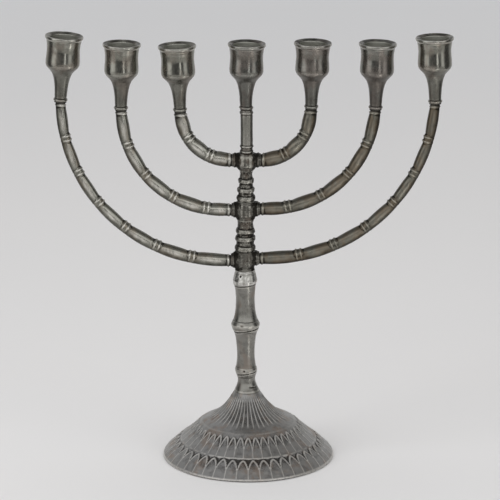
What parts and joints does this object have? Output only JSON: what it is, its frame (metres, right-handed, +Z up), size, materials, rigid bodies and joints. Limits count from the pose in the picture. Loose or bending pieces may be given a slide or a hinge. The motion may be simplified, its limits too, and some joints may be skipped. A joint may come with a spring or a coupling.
{
  "type": "menorah",
  "caption": "Branched table candelabrum in antiqued pewter: flared hollow foot, bamboo-shaped stem, paired curved arms with ringed nodes, upright candle cups.",
  "frame": {"origin": "middle of the foot's rim, on the table", "axes": "+Z up along the column, X along the row of cups (+X to the right seen from the front), the front faces -Y"},
  "size_m": [0.3219, 0.1386, 0.3497],
  "materials": {
    "pewter_foot": "satin",
    "pewter_column": "satin",
    "pewter_arm": "satin",
    "pewter_cup": "satin",
    "steel": "satin"
  },
  "bodies": {
    "root": {"foot": "pewter_foot", "stem": "pewter_foot", "stem_ferrule": "pewter_column", "lower_hub": "pewter_column", "lower_spacer": "pewter_column", "middle_hub": "pewter_column", "upper_spacer": "pewter_column", "upper_hub": "pewter_column", "centre_shaft": "pewter_column", "tie_rod": "steel", "foot_washer": "steel", "foot_nut": "steel", "cup_4": "pewter_cup", "arm_outer_left": "pewter_arm", "cup_1": "pewter_cup", "arm_middle_left": "pewter_arm", "cup_2": "pewter_cup", "arm_inner_left": "pewter_arm", "cup_3": "pewter_cup", "arm_inner_right": "pewter_arm", "cup_5": "pewter_cup", "arm_middle_right": "pewter_arm", "cup_6": "pewter_cup", "arm_outer_right": "pewter_arm", "cup_7": "pewter_cup"}
  },
  "joints": []
}
